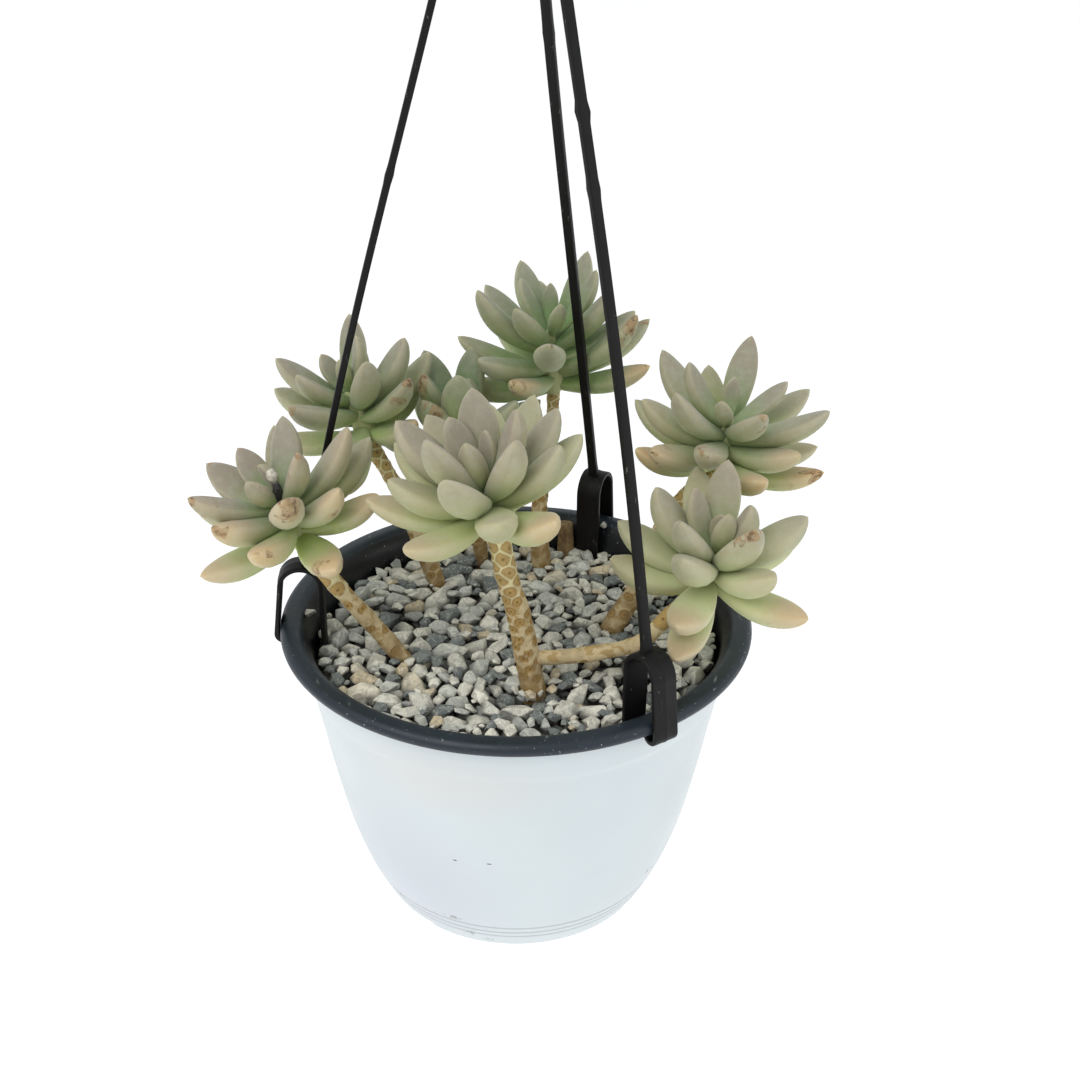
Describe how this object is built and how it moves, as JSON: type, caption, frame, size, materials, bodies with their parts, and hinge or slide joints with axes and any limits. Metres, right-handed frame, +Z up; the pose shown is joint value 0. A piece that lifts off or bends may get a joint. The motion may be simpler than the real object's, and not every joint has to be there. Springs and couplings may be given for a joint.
{
  "type": "potted graptopetalum in a hanging pot",
  "caption": "Ghost-plant rosettes on bare leaning stems in a round white plastic pot with a dark rim, topped with crushed stone and hung by moulded arms with a hook.",
  "frame": {"origin": "the point under the arch of the hook that bears the weight, on the pot's axis", "axes": "+Z up along the pot's axis, -Y towards the front of the plant, +X to the right seen from the front"},
  "size_m": [0.2301, 0.2021, 0.475],
  "materials": {
    "pot_white": "satin",
    "liner_dark": "satin",
    "hanger_black": "satin",
    "soil": "matte",
    "gravel": "matte",
    "leaf": "matte",
    "old_wood": "matte"
  },
  "bodies": {
    "root": {"pot_shell": "pot_white", "pot_liner": "liner_dark", "potting_soil": "soil", "gravel": "gravel", "leafy_stem_front": "leaf", "leafy_stem_left": "leaf", "leafy_stem_back_left": "leaf", "leafy_stem_middle": "leaf", "leafy_stem_back": "leaf", "leafy_stem_right": "leaf", "old_stump": "old_wood", "hanger_arm_front": "hanger_black", "hanger_arm_left": "hanger_black", "hanger_arm_back": "hanger_black", "hanger_crown": "hanger_black"}
  },
  "joints": []
}
